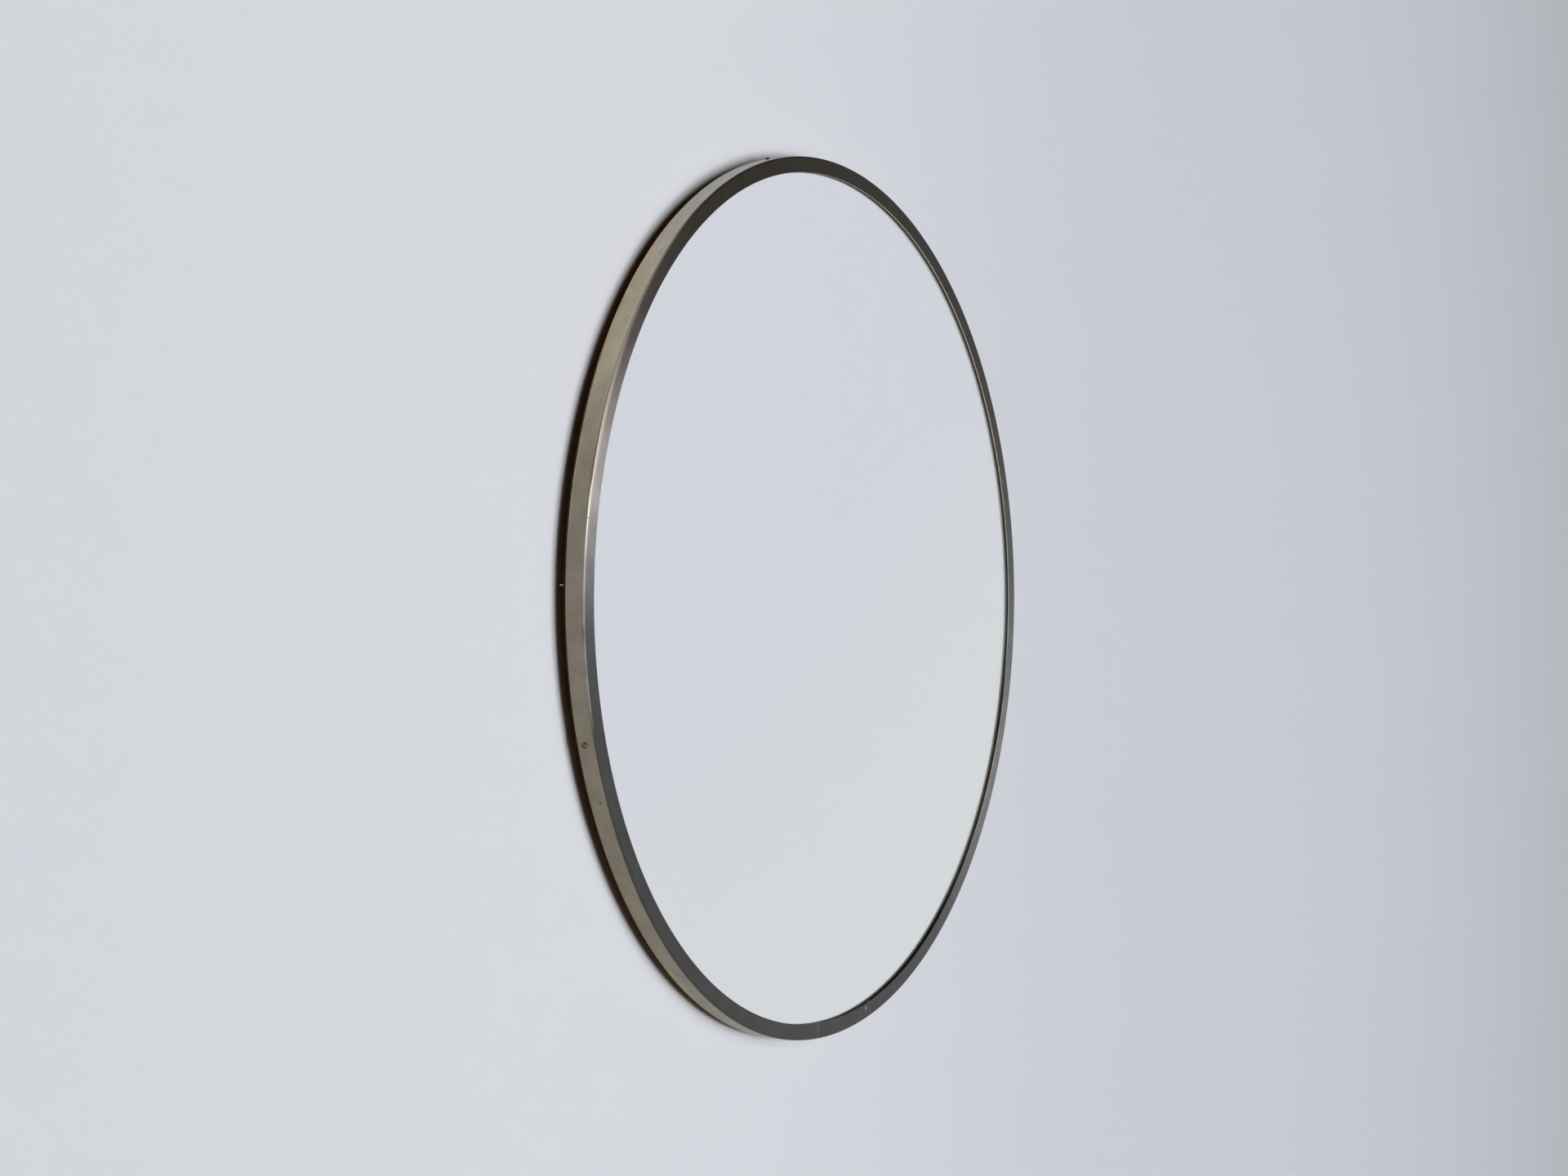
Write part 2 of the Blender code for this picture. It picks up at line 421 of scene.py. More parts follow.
@dataclass(frozen=True)
class PatinatedBronze:
    """Rolled bronze, brushed the long way, with a brown-black patina on its face.

    The brushing spreads each highlight across the lip, so a lamp shows as a bow tie of light on two
    opposite stretches of the ring and the rest stays dark. The side has less patina and shows khaki
    metal. A stretch of the front corner is painted bright, and a band along the lip's outer edge at
    upper left is painted lighter: both are painted highlights.

    A fade is the pair of places where a change starts and is complete. Those of the face, the side and
    the cut edge's darker part run up the ring and are in radii above its centre. The face is painted
    darker and warmer towards the top, as painted shade; the side is painted paler towards the top, as
    a painted highlight; the cut edge is painted darker in its lower part, as painted shade.
    """

    face_low: str = "#494848"
    # The face's upper tone is painted shade: darker and warmer towards the top
    face_top_shade: str = "#292111"
    face_shade_fade: tuple[float, float] = (-0.15, 1.0)
    side: str = "#8f8675"
    # The side's upper tone is a painted highlight: paler towards the top
    side_top_highlight: str = "#a8a6a1"
    side_highlight_fade: tuple[float, float] = (0.6, 0.95)
    wrap_fade: tuple[float, float] = (0.7 * MM, 2.3 * MM)
    # A painted highlight: the bright colour laid on a stretch of the corner, which also gets its own
    # roughness
    corner: str = "#a29f99"
    corner_fade: tuple[float, float] = (2.2 * MM, 1.0 * MM)
    corner_highlight_angle: float = 181.0
    corner_highlight_length: float = 270 * MM
    # A painted highlight: a lighter band along the lip's outer edge at upper left
    outer_highlight: str = "#4f4b45"
    outer_highlight_angle: float = 160.0
    outer_highlight_length: float = 760 * MM
    outer_highlight_width: float = 7 * MM
    outer_highlight_softness: float = 2 * MM
    cut_edge: str = "#bcb8b0"
    # Painted shade: the cut edge's lower part is darker
    cut_edge_shade: str = "#504c45"
    cut_edge_shade_fade: tuple[float, float] = (-0.35, -0.05)
    cut_inward: float = 0.3 * MM
    cut_depth: tuple[float, float] = (0.15 * MM, 0.5 * MM)
    joint: str = "#5a5453"
    joint_angle: float = 265.4
    joint_width: float = 5 * MM
    joint_ragged: float = 1.5 * MM
    joint_softness: float = 1.2 * MM
    residue: str = "#aaa27f"
    residue_angle: float = 233.2
    residue_length: float = 72 * MM
    residue_depth: tuple[float, float] = (12.5 * MM, 18.5 * MM)
    stain: str = "#2a261f"
    stain_share: float = 0.3
    streak_length: float = 55 * MM
    # Real brushing is finer than 0.1 mm, which no view of the whole mirror would show
    streak_pitch: float = 0.55 * MM
    mottle: float = 28 * MM
    speck: float = 1.6 * MM
    tone_swing: float = 0.1
    roughness: tuple[float, float] = (0.3, 0.4)
    corner_roughness: float = 0.6
    corner_highlight_roughness: float = 0.22
    relief: float = 0.006 * MM
    anisotropy: float = 0.8
    spots: tuple[Spot, ...] = (
        Spot(279.0, 488.0 * MM, 0.0, 5.0 * MM, "#8f8b84"),
        Spot(18.3, 486.6 * MM, 0.0, 3.0 * MM, "#8a8680"),
        Spot(20.6, 482.4 * MM, 0.4 * MM, 1.6 * MM, "#d8d2c4"),
        Spot(14.9, 482.4 * MM, 0.4 * MM, 1.4 * MM, "#d8d2c4"),
        Spot(279.8, 482.4 * MM, 0.4 * MM, 1.8 * MM, "#cfc9bb"),
        Spot(171.0, 498.0 * MM, 0.0, 1.6 * MM, "#34302b"),
        Spot(203.5, 500.0 * MM, 9.0 * MM, 3.0 * MM, "#5a5447"),
        Spot(148.0, 500.0 * MM, 6.0 * MM, 2.5 * MM, "#9a9383"),
    )

    def make(self, ring: Ring, lip_width: float) -> Material:
        """Build the material for a ring.

        Args:
            ring: The ring whose face, side and corner the patina follows.
            lip_width: The width of its lip, whose inner edge is bare.

        Returns:
            The material.
        """
        metal = new_material("patinated brushed bronze")
        rim = self._survey(metal, ring)
        colour = self._paint_outer_highlight(rim, self._lay_patina(rim))
        corner, corner_highlight_share = self._find_corner(rim)
        # Painted highlight: a stretch of the corner is painted bright
        highlit = {"Factor": corner_highlight_share, "A": colour, "B": srgb(self.corner)}
        colour = add_node(metal, "Mix", highlit, data_type="RGBA")
        colour = self._bare_cut_edge(rim, ring.radius - lip_width, colour)
        colour = self._add_marks(rim, colour)
        smooth, coarse = self.roughness
        brushed = {"Value": rim.streaks, "From Min": 0.3, "From Max": 0.7, "To Min": smooth, "To Max": coarse}
        rough = add_node(metal, "MapRange", brushed)
        for share, value in ((corner, self.corner_roughness), (corner_highlight_share, self.corner_highlight_roughness)):
            rough = add_node(metal, "Mix", {"Factor": share, "A": rough, "B": value}, data_type="FLOAT")
        relief = add_node(metal, "Math", {0: rim.specks, 1: 0.5, 2: rim.streaks}, operation="MULTIPLY_ADD")
        bump = add_node(metal, "Bump", {"Height": relief, "Distance": self.relief, "Strength": 1.0})
        around = add_node(metal, "Tangent", direction_type="RADIAL", axis="Y")
        shader = add_node(
            metal,
            "BsdfPrincipled",
            {
                "Base Color": colour,
                "Metallic": 1.0,
                "Roughness": rough,
                "Anisotropic": self.anisotropy,
                "Anisotropic Rotation": 0.25,
                "Tangent": around,
                "Normal": bump,
            },
        )
        add_node(metal, "OutputMaterial", {"Surface": shader})
        return metal

    def _survey(self, metal: Material, ring: Ring) -> RimPlace:
        """Find where a point of the rim lies, and lay out the noises that its marks share.

        Args:
            metal: The material.
            ring: The ring that the rim follows.

        Returns:
            The place on the rim.
        """
        place = add_node(metal, "TexCoord").node.outputs["Object"]
        centred = add_node(metal, "Mapping", {"Vector": place, "Location": -ring.centre})
        parts = add_node(metal, "SeparateXYZ", {"Vector": centred}).node.outputs
        flat = add_node(metal, "CombineXYZ", {"X": parts["X"], "Z": parts["Z"]})
        radius = add_node(metal, "VectorMath", {0: flat}, operation="LENGTH")
        clouds = {"Vector": centred, "Scale": 1 / self.mottle, "Detail": 5.0, "Roughness": 0.62}
        mottle = add_node(metal, "TexNoise", clouds)
        grain = {"Vector": centred, "Scale": 1 / self.speck, "Detail": 2.0, "Roughness": 0.5}
        specks = add_node(metal, "TexNoise", grain)
        # The brushing is noise that is long round the ring and fine across it
        heading = add_node(metal, "VectorMath", {0: flat}, operation="NORMALIZE")
        turns = ring.radius / self.streak_length
        along = add_node(metal, "VectorMath", {0: heading, "Scale": turns}, operation="SCALE")
        girth = add_node(metal, "Math", {0: radius, 1: parts["Y"]}, operation="ADD")
        across = add_node(metal, "Math", {0: girth, 1: 1 / self.streak_pitch}, operation="MULTIPLY")
        brushing = {"Vector": along, "W": across, "Scale": 1.0, "Detail": 3.0, "Roughness": 0.6}
        streaks = add_node(metal, "TexNoise", brushing, noise_dimensions="4D")
        return RimPlace(metal, ring, centred, radius, parts["Y"], parts["Z"], streaks, mottle, specks)

    def _lay_patina(self, rim: RimPlace) -> Socket:
        """Colour the face and the side, then add clouds, the brushing's grain and fine dark specks.

        The top of the face is painted darker as shade, and the top of the side paler as a highlight.

        Args:
            rim: The place on the rim.

        Returns:
            The patina's colour.
        """
        tones = []
        # The upper tones are painted light: shade at the top of the face, a highlight at the top of the side
        for low, high, fade in (
            (self.face_low, self.face_top_shade, self.face_shade_fade),
            (self.side, self.side_top_highlight, self.side_highlight_fade),
        ):
            start, end = (rim.ring.radius * height for height in fade)
            tones.append(cover(rim.metal, srgb(low), srgb(high), (rim.height, start, end)))
        colour = cover(rim.metal, *tones, (rim.depth, *self.wrap_fade))
        clouds = mask(rim.metal, (rim.mottle, 0.35, 0.72))
        for value, start, end in ((clouds, 0.0, 1.0), (rim.streaks, 0.3, 0.7)):
            span = {"Value": value, "From Min": start, "From Max": end}
            swing = {"To Min": 1 - self.tone_swing, "To Max": 1 + self.tone_swing}
            tone = add_node(rim.metal, "MapRange", {**span, **swing})
            colour = add_node(rim.metal, "VectorMath", {0: colour, "Scale": tone}, operation="SCALE")
        dark = mask(rim.metal, (rim.specks, 0.68, 0.76))
        faint = add_node(rim.metal, "Math", {0: dark, 1: self.stain_share}, operation="MULTIPLY")
        stained = {"Factor": faint, "A": colour, "B": srgb(self.stain)}
        return add_node(rim.metal, "Mix", stained, data_type="RGBA")

    def _paint_outer_highlight(self, rim: RimPlace, colour: Socket) -> Socket:
        """Paint a lighter band along the lip's outer edge at upper left, tapering both ways, as a highlight.

        Args:
            rim: The place on the rim.
            colour: The patina's colour.

        Returns:
            The colour with the band.
        """
        swell = mask(rim.metal, (rim.along(self.outer_highlight_angle), self.outer_highlight_length / 2, 0.0))
        reach = {0: swell, 1: self.outer_highlight_width, 2: rim.radius}
        edge = add_node(rim.metal, "Math", reach, operation="MULTIPLY_ADD")
        outer = (edge, rim.ring.radius, rim.ring.radius + self.outer_highlight_softness)
        front = (rim.depth, *reversed(self.wrap_fade))
        return cover(rim.metal, colour, srgb(self.outer_highlight), outer, front)

    def _find_corner(self, rim: RimPlace) -> tuple[Socket, Socket]:
        """Find the corner between face and side, and the stretch of it that is painted bright as a highlight.

        Args:
            rim: The place on the rim.

        Returns:
            The share of the corner, and the share of painted highlight on it.
        """
        start, end = self.corner_fade
        outer = rim.ring.radius
        corner = mask(rim.metal, (rim.radius, outer - start, outer - end), (rim.depth, start, end))
        highlight_stretch = mask(
            rim.metal,
            (rim.along(self.corner_highlight_angle), 0.5 * self.corner_highlight_length, 0.3 * self.corner_highlight_length),
        )
        # The patina's clouds leave patches of the painted highlight dark
        corner_highlight_share = add_node(rim.metal, "MapRange", {"Value": rim.mottle, "From Min": 0.25, "From Max": 0.6})
        for share in (highlight_stretch, corner):
            corner_highlight_share = add_node(rim.metal, "Math", {0: corner_highlight_share, 1: share}, operation="MULTIPLY")
        return corner, corner_highlight_share

    def _bare_cut_edge(self, rim: RimPlace, inner: float, colour: Socket) -> Socket:
        """Bare the lip's inner edge where it was cut and polished, and paint its lower part darker as shade.

        Args:
            rim: The place on the rim.
            inner: The lip's inner radius.
            colour: The patina's colour.

        Returns:
            The colour with the bare edge.
        """
        start, end = (rim.ring.radius * height for height in self.cut_edge_shade_fade)
        bare = cover(rim.metal, srgb(self.cut_edge_shade), srgb(self.cut_edge), (rim.height, start, end))
        inside = (rim.radius, inner + self.cut_inward, inner)
        return cover(rim.metal, colour, bare, inside, (rim.depth, *self.cut_depth))

    def _add_marks(self, rim: RimPlace, colour: Socket) -> Socket:
        """Add the filed joint of the rolled angle's ends, the old green-yellow residue and the spots.

        Args:
            rim: The place on the rim.
            colour: The metal's colour.

        Returns:
            The colour with the marks.
        """
        half = self.joint_width / 2
        wavy = rim.roughen(rim.along(self.joint_angle), self.joint_ragged)
        colour = cover(rim.metal, colour, srgb(self.joint), (wavy, half, half - self.joint_softness))
        # The residue is in crumbs on the side, by its back edge
        reach = self.residue_length / 2
        within = (rim.along(self.residue_angle), reach, 0.7 * reach)
        back, crumbs = (rim.depth, *self.residue_depth), (rim.specks, 0.42, 0.58)
        colour = cover(rim.metal, colour, srgb(self.residue), within, back, crumbs)
        for spot in self.spots:
            centre = rim.ring.outward(spot.angle) * spot.radius + INWARD * spot.depth
            away = add_node(rim.metal, "VectorMath", {0: rim.centred, 1: centre}, operation="DISTANCE")
            outline = (rim.roughen(away, 1.2 * spot.reach), 0.1 * spot.reach, -0.4 * spot.reach)
            colour = cover(rim.metal, colour, srgb(spot.colour), outline)
        return colour


@dataclass(frozen=True)
class DulledBrass:
    """Turned brass screws, dulled to the rim's tone but smoother, so each dome shows a bright point."""

    metal: str = "#7c7365"
    grime_and_shade: str = "#17130e"
    grain: float = 0.9 * MM
    roughness: tuple[float, float] = (0.16, 0.3)
    grime_roughness: float = 0.75
    relief: float = 0.01 * MM

    def make(self) -> Material:
        """Build the material.

        Returns:
            The material, which is dark with grime and painted shade where the slot's face attribute is 1.
        """
        brass = new_material("dulled turned brass")
        place = add_node(brass, "TexCoord").node.outputs["Object"]
        grain = add_node(brass, "TexNoise", {"Vector": place, "Scale": 1 / self.grain, "Detail": 3.0})
        patches = add_node(brass, "MapRange", {"Value": grain, "From Min": 0.52, "From Max": 0.75})
        # The slot is painted dark: grime, and painted shade in the recess
        in_slot = add_node(brass, "Attribute", attribute_name=SLOT_GRIME_AND_SHADE).node.outputs["Fac"]
        dirt_and_shade = add_node(brass, "Math", {0: patches, 1: in_slot}, operation="MAXIMUM")
        tones = {"Factor": dirt_and_shade, "A": srgb(self.metal), "B": srgb(self.grime_and_shade)}
        colour = add_node(brass, "Mix", tones, data_type="RGBA")
        smooth, coarse = self.roughness
        clean = add_node(brass, "MapRange", {"Value": grain, "To Min": smooth, "To Max": coarse})
        worn = {"Factor": in_slot, "A": clean, "B": self.grime_roughness}
        rough = add_node(brass, "Mix", worn, data_type="FLOAT")
        bump = add_node(brass, "Bump", {"Height": grain, "Distance": self.relief, "Strength": 1.0})
        shader = add_node(
            brass,
            "BsdfPrincipled",
            {"Base Color": colour, "Metallic": 1.0, "Roughness": rough, "Normal": bump},
        )
        add_node(brass, "OutputMaterial", {"Surface": shader})
        return brass


@dataclass(frozen=True)
class DrawnSteel:
    """Drawn steel wire, bright but lightly greyed, with fine scratches that run along the pin."""

    metal: str = "#a8a5a0"
    greyed: str = "#6f6a64"
    scratch: float = 0.35 * MM
    # Squeezed along the pin, so that each scratch is many times longer than it is wide
    squeeze: float = 0.12
    roughness: tuple[float, float] = (0.25, 0.45)
    relief: float = 0.01 * MM

    def make(self) -> Material:
        """Build the material.

        Returns:
            The material.
        """
        steel = new_material("drawn steel wire")
        place = add_node(steel, "TexCoord").node.outputs["Object"]
        drawn = add_node(steel, "Mapping", {"Vector": place, "Scale": (1.0, self.squeeze, 1.0)})
        grain = add_node(steel, "TexNoise", {"Vector": drawn, "Scale": 1 / self.scratch, "Detail": 2.0})
        tones = {"Factor": grain, "A": srgb(self.metal), "B": srgb(self.greyed)}
        colour = add_node(steel, "Mix", tones, data_type="RGBA")
        smooth, coarse = self.roughness
        rough = add_node(steel, "MapRange", {"Value": grain, "To Min": smooth, "To Max": coarse})
        bump = add_node(steel, "Bump", {"Height": grain, "Distance": self.relief, "Strength": 1.0})
        shader = add_node(
            steel,
            "BsdfPrincipled",
            {"Base Color": colour, "Metallic": 1.0, "Roughness": rough, "Normal": bump},
        )
        add_node(steel, "OutputMaterial", {"Surface": shader})
        return steel


@dataclass(frozen=True)
class FloatGlass:
    """Clear float glass, polished and very faintly green, seen only by its depth over the silver."""

    tint: str = "#fcfefd"
    index: float = 1.52

    def make(self) -> Material:
        """Build the material.

        Returns:
            The material, whose clearness is plain values on the shader.
        """
        glass = new_material("clear float glass")
        shader = add_node(
            glass,
            "BsdfPrincipled",
            {
                "Base Color": srgb(self.tint),
                "Metallic": 0.0,
                "Roughness": 0.0,
                "IOR": self.index,
                "Transmission Weight": 1.0,
            },
        )
        add_node(glass, "OutputMaterial", {"Surface": shader})
        return glass


@dataclass(frozen=True)
class SilverCoat:
    """Silver laid on the back of the glass: a true plane mirror, with a little bloom at its edge."""

    silver: str = "#f6f6f7"
    bloom: str = "#b9bab4"
    bloom_roughness: float = 0.25
    cloud: float = 90 * MM
    edge_width: float = 9 * MM
    edge_overlap: float = 4 * MM

    def make(self, ring: Ring, radius: float) -> Material:
        """Build the material.

        Args:
            ring: The ring whose axis the coat is centred on.
            radius: The coat's radius.

        Returns:
            The material.
        """
        coat = new_material("silver on glass")
        place = add_node(coat, "TexCoord").node.outputs["Object"]
        centred = add_node(coat, "Mapping", {"Vector": place, "Location": -ring.centre})
        out = add_node(coat, "VectorMath", {0: centred}, operation="LENGTH")
        clouds = {"Vector": centred, "Scale": 1 / self.cloud, "Detail": 6.0, "Roughness": 0.7}
        cloud = add_node(coat, "TexNoise", clouds)
        # The bloom creeps in from the edge by an uneven few millimetres, mostly under the lip
        uneven = add_node(coat, "Math", {0: cloud, 1: self.edge_width, 2: out}, operation="MULTIPLY_ADD")
        bloom = mask(coat, (uneven, radius - self.edge_width / 2, radius + self.edge_overlap))
        tones = {"Factor": bloom, "A": srgb(self.silver), "B": srgb(self.bloom)}
        colour = add_node(coat, "Mix", tones, data_type="RGBA")
        rough = add_node(coat, "MapRange", {"Value": bloom, "To Min": 0.0, "To Max": self.bloom_roughness})
        metal = {"Base Color": colour, "Metallic": 1.0, "Roughness": rough}
        shader = add_node(coat, "BsdfPrincipled", metal)
        add_node(coat, "OutputMaterial", {"Surface": shader})
        return coat


@dataclass(frozen=True)
class Timber:
    """Bare planed wood: long, wandering rings of darker grain, and short open pores along them.

    The grain runs along X. Layers across Y, if the wood has them, are the sheets of plywood, whose
    grain turns by a right angle from one to the next, so every other one shows end grain and is darker.
    """

    name: str
    early: str
    late: str
    pore: str
    ring_width: float
    sheet: float = 0.0
    sheet_shade: float = 0.62
    glue: str = "#2e2118"
    # Painted shadow: the dark colour laid over a stretch of the sawn edge
    edge_shadow: str = "#2c1b0d"
    # Where the painted shadow on the edge ends and is full, in radii of the board from its middle, and how
    # much it wanders
    edge_shadow_fade: tuple[float, float] = (0.98, 0.64)
    edge_shadow_wander: float = 60 * MM
    # Painted shade: the sawn edge is darkened all round
    edge_fade: tuple[float, float] = (4 * MM, 1 * MM)
    edge_shade: float = 0.68
    # Grain is about forty times longer than it is wide
    stretch: tuple[float, float, float] = (0.025, 0.4, 1.0)
    fibre: float = 0.5 * MM
    roughness: tuple[float, float] = (0.55, 0.8)
    shine: float = 0.1
    relief: float = 0.06 * MM

    def make(self, origin: Vector, edge_shadow: Vector | None = None) -> Material:
        """Build the material.

        Args:
            origin: The point that the pattern is centred on, on the back face of the wood.
            edge_shadow: The middle of a stretch of the edge that is painted dark as shadow, if there is one.

        Returns:
            The material.
        """
        wood = new_material(self.name)
        place = add_node(wood, "TexCoord").node.outputs["Object"]
        centred = add_node(wood, "Mapping", {"Vector": place, "Location": -origin})
        stretched = add_node(wood, "Mapping", {"Vector": centred, "Scale": self.stretch})
        broad = {"Vector": stretched, "Scale": 0.12 / self.ring_width, "Detail": 3.0, "Roughness": 0.5}
        wander = add_node(wood, "TexNoise", broad)
        rings = add_node(wood, "Math", {0: wander, 1: 9.0}, operation="MULTIPLY")
        rings = add_node(wood, "Math", {0: rings, 1: 1.0}, operation="PINGPONG")
        colour = cover(wood, srgb(self.early), srgb(self.late), (rings, 0.35, 1.0))
        fine = {"Vector": stretched, "Scale": 1 / self.fibre, "Detail": 3.0, "Roughness": 0.6}
        fibres = add_node(wood, "TexNoise", fine)
        pores = add_node(wood, "MapRange", {"Value": fibres, "From Min": 0.55, "From Max": 0.75})
        colour = add_node(wood, "Mix", {"Factor": pores, "A": colour, "B": srgb(self.pore)}, data_type="RGBA")
        if self.sheet:
            colour = self._draw_sheets(wood, centred, colour)
        if edge_shadow is not None:
            colour = self._paint_edge_shade(wood, place, wander, origin, edge_shadow, colour)
        bump = add_node(wood, "Bump", {"Height": fibres, "Distance": self.relief, "Strength": 0.7})
        smooth, coarse = self.roughness
        rough = add_node(wood, "MapRange", {"Value": fibres, "To Min": smooth, "To Max": coarse})
        shader = add_node(
            wood,
            "BsdfPrincipled",
            {"Base Color": colour, "Roughness": rough, "Specular IOR Level": self.shine, "Normal": bump},
        )
        add_node(wood, "OutputMaterial", {"Surface": shader})
        return wood

    def _paint_edge_shade(
        self,
        wood: Material,
        place: Socket,
        wander: Socket,
        origin: Vector,
        edge_shadow: Vector,
        colour: Socket,
    ) -> Socket:
        """Darken the whole sawn edge as painted shade, and a stretch of it more as painted shadow that runs
        over it a little.

        Args:
            wood: The material.
            place: The point in the frame's coordinates.
            wander: The noise that makes the painted shadow's ends uneven.
            origin: The centre of the board's back.
            edge_shadow: The middle of the stretch with painted shadow, on the board's edge.
            colour: The bare wood's colour.

        Returns:
            The colour with the edge darkened.
        """
        reach = (edge_shadow - origin).length
        start, end = self.edge_fade
        edge = (measure_off_axis(wood, place, origin), reach - start, reach - end)
        shaded = {"Value": mask(wood, edge), "To Min": 1.0, "To Max": self.edge_shade}
        shade = add_node(wood, "MapRange", shaded)
        colour = add_node(wood, "VectorMath", {0: colour, "Scale": shade}, operation="SCALE")
        # Painted shadow over a stretch of the edge
        away = add_node(wood, "VectorMath", {0: place, 1: edge_shadow}, operation="DISTANCE")
        uneven = add_node(wood, "Math", {0: wander, 1: self.edge_shadow_wander, 2: away}, operation="MULTIPLY_ADD")
        start, end = (share * reach for share in self.edge_shadow_fade)
        return cover(wood, colour, srgb(self.edge_shadow), (uneven, start, end), edge)

    def _draw_sheets(self, wood: Material, centred: Socket, colour: Socket) -> Socket:
        """Darken every other sheet, and draw the thin glue line between two sheets.

        Args:
            wood: The material.
            centred: The point as seen from the centre of the wood's back.
            colour: The bare wood's colour.

        Returns:
            The colour with the sheets.
        """
        across = add_node(wood, "SeparateXYZ", {"Vector": centred}).node.outputs["Y"]
        # The back face lies a hair inside the first sheet, so that it has one tone
        count = add_node(wood, "Math", {0: across, 1: -1 / self.sheet, 2: 0.02}, operation="MULTIPLY_ADD")
        part = add_node(wood, "Math", {0: count}, operation="FRACT")
        half = add_node(wood, "Math", {0: count, 1: 0.5}, operation="MULTIPLY")
        pair = add_node(wood, "Math", {0: half}, operation="FRACT")
        end_grain = add_node(wood, "Math", {0: pair, 1: 0.5}, operation="GREATER_THAN")
        shade = add_node(wood, "MapRange", {"Value": end_grain, "To Min": 1.0, "To Max": self.sheet_shade})
        colour = add_node(wood, "VectorMath", {0: colour, "Scale": shade}, operation="SCALE")
        offset = add_node(wood, "Math", {0: part, 1: 0.5}, operation="SUBTRACT")
        from_middle = add_node(wood, "Math", {0: offset}, operation="ABSOLUTE")
        seam = add_node(wood, "MapRange", {"Value": from_middle, "From Min": 0.42, "From Max": 0.49})
        inside = add_node(wood, "Math", {0: across, 1: -0.4 * self.sheet}, operation="LESS_THAN")
        seam = add_node(wood, "Math", {0: seam, 1: inside}, operation="MULTIPLY")
        return add_node(wood, "Mix", {"Factor": seam, "A": colour, "B": srgb(self.glue)}, data_type="RGBA")


@dataclass
class BronzeRim:
    """The rolled angle: a flat lip in front, a side that runs back, and a rounded corner between."""

    ring: Ring
    lip_width: float = 17.8 * MM
    thickness: float = 2.0 * MM
    corner_radius: float = 2.4 * MM
    corner_segments: int = 6
    edge_radius: float = 0.35 * MM
    edge_segments: int = 2
    straight: float = 1.2 * MM
    support: float = 0.12 * MM
    steps: int = 360

    def build(self) -> Piece:
        """Spin the section round the axis and dress it.

        Returns:
            The rim.
        """
        shape = bmesh.new()
        self._draw_section(shape)
        self._hold_flats(shape)
        spin_section(shape, self.ring.centre, self.steps)
        material = PatinatedBronze().make(self.ring, self.lip_width)
        return add_piece(shape, "bronze_rim", material, "rim")

    def _draw_section(self, shape: Shape) -> None:
        """Draw the angle's outline and round its corners, leaving a closed loop of edges.

        Args:
            shape: The empty bmesh that gets the section.
        """
        outer = self.ring.radius
        outline = [
            (outer, 0.0),
            (outer, self.ring.depth),
            (outer - self.thickness, self.ring.depth),
            (outer - self.thickness, self.thickness),
            (outer - self.lip_width, self.thickness),
            (outer - self.lip_width, 0.0),
        ]
        corners = [shape.verts.new(self.ring.point(0.0, radius, depth)) for radius, depth in outline]
        shape.faces.new(corners)
        round_off(shape, corners[:1], self.corner_radius, self.corner_segments)
        sharp = [vert for vert in shape.verts if vert.is_valid and vert in corners[1:]]
        round_off(shape, sharp, self.edge_radius, self.edge_segments)
        bmesh.ops.delete(shape, geom=list(shape.faces), context="FACES_ONLY")

    def _hold_flats(self, shape: Shape) -> None:
        """Add a point close to each end of each straight run, so that the flats shade flat.

        Args:
            shape: The bmesh that holds the section.
        """
        for edge in [e for e in shape.edges if e.calc_length() > self.straight]:
            start, end = edge.verts
            rest, _ = bmesh.utils.edge_split(edge, start, self.support / edge.calc_length())
            length = (start.co - end.co).length
            far = rest if end in rest.verts else edge
            bmesh.utils.edge_split(far, end, self.support / (length - self.support))


@dataclass
class GlassPlate:
    """The round plate of float glass, its edge lightly ground, and the silver on its back."""

    ring: Ring
    ground_edge: float = 0.5 * MM
    silver_thickness: float = 0.08 * MM
    silver_gap: float = 0.12 * MM
    steps: int = 256

    def build(self) -> list[Piece]:
        """Build the pane and the silver.

        Returns:
            Both pieces.
        """
        low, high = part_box("mirror_glass")
        radius = (high.z - low.z) / 2
        pane = bmesh.new()
        cut_disc(pane, self.ring, radius, low.y, high.y, self.steps, self.ground_edge)
        clear = FloatGlass().make()
        glass = add_piece(pane, "mirror_glass_pane", clear, "mirror_glass", PLATE_SHARP)
        coat = bmesh.new()
        front = high.y + self.silver_gap
        coat_radius = radius - 2 * self.ground_edge
        cut_disc(coat, self.ring, coat_radius, front, front + self.silver_thickness, self.steps)
        silver = SilverCoat().make(self.ring, coat_radius)
        return [glass, add_piece(coat, "mirror_silver", silver, None, PLATE_SHARP)]


@dataclass
class BackingBoard:
    """The round plywood board, sawn at its edge and eased by hand."""

    ring: Ring
    eased: float = 0.6 * MM
    sheet: float = 1.9 * MM
    # Painted shadow: where the darkened stretch of the board's edge is centred
    edge_shadow_angle: float = 196.0
    steps: int = 256

    def build(self) -> Piece:
        """Cut the board and dress it.

        Returns:
            The board.
        """
        low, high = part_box("backing_board")
        shape = bmesh.new()
        cut_disc(shape, self.ring, (high.z - low.z) / 2, low.y, high.y, self.steps, self.eased)
        plywood = Timber("birch plywood", "#c29c72", "#a87a4c", "#7d5432", 11 * MM, self.sheet)
        origin = Vector((self.ring.centre.x, high.y, self.ring.centre.z))
        edge_shadow = origin + self.ring.outward(self.edge_shadow_angle) * (high.z - low.z) / 2
        finish = plywood.make(origin, edge_shadow)
        return add_piece(shape, "plywood_board", finish, "backing_board", PLATE_SHARP)


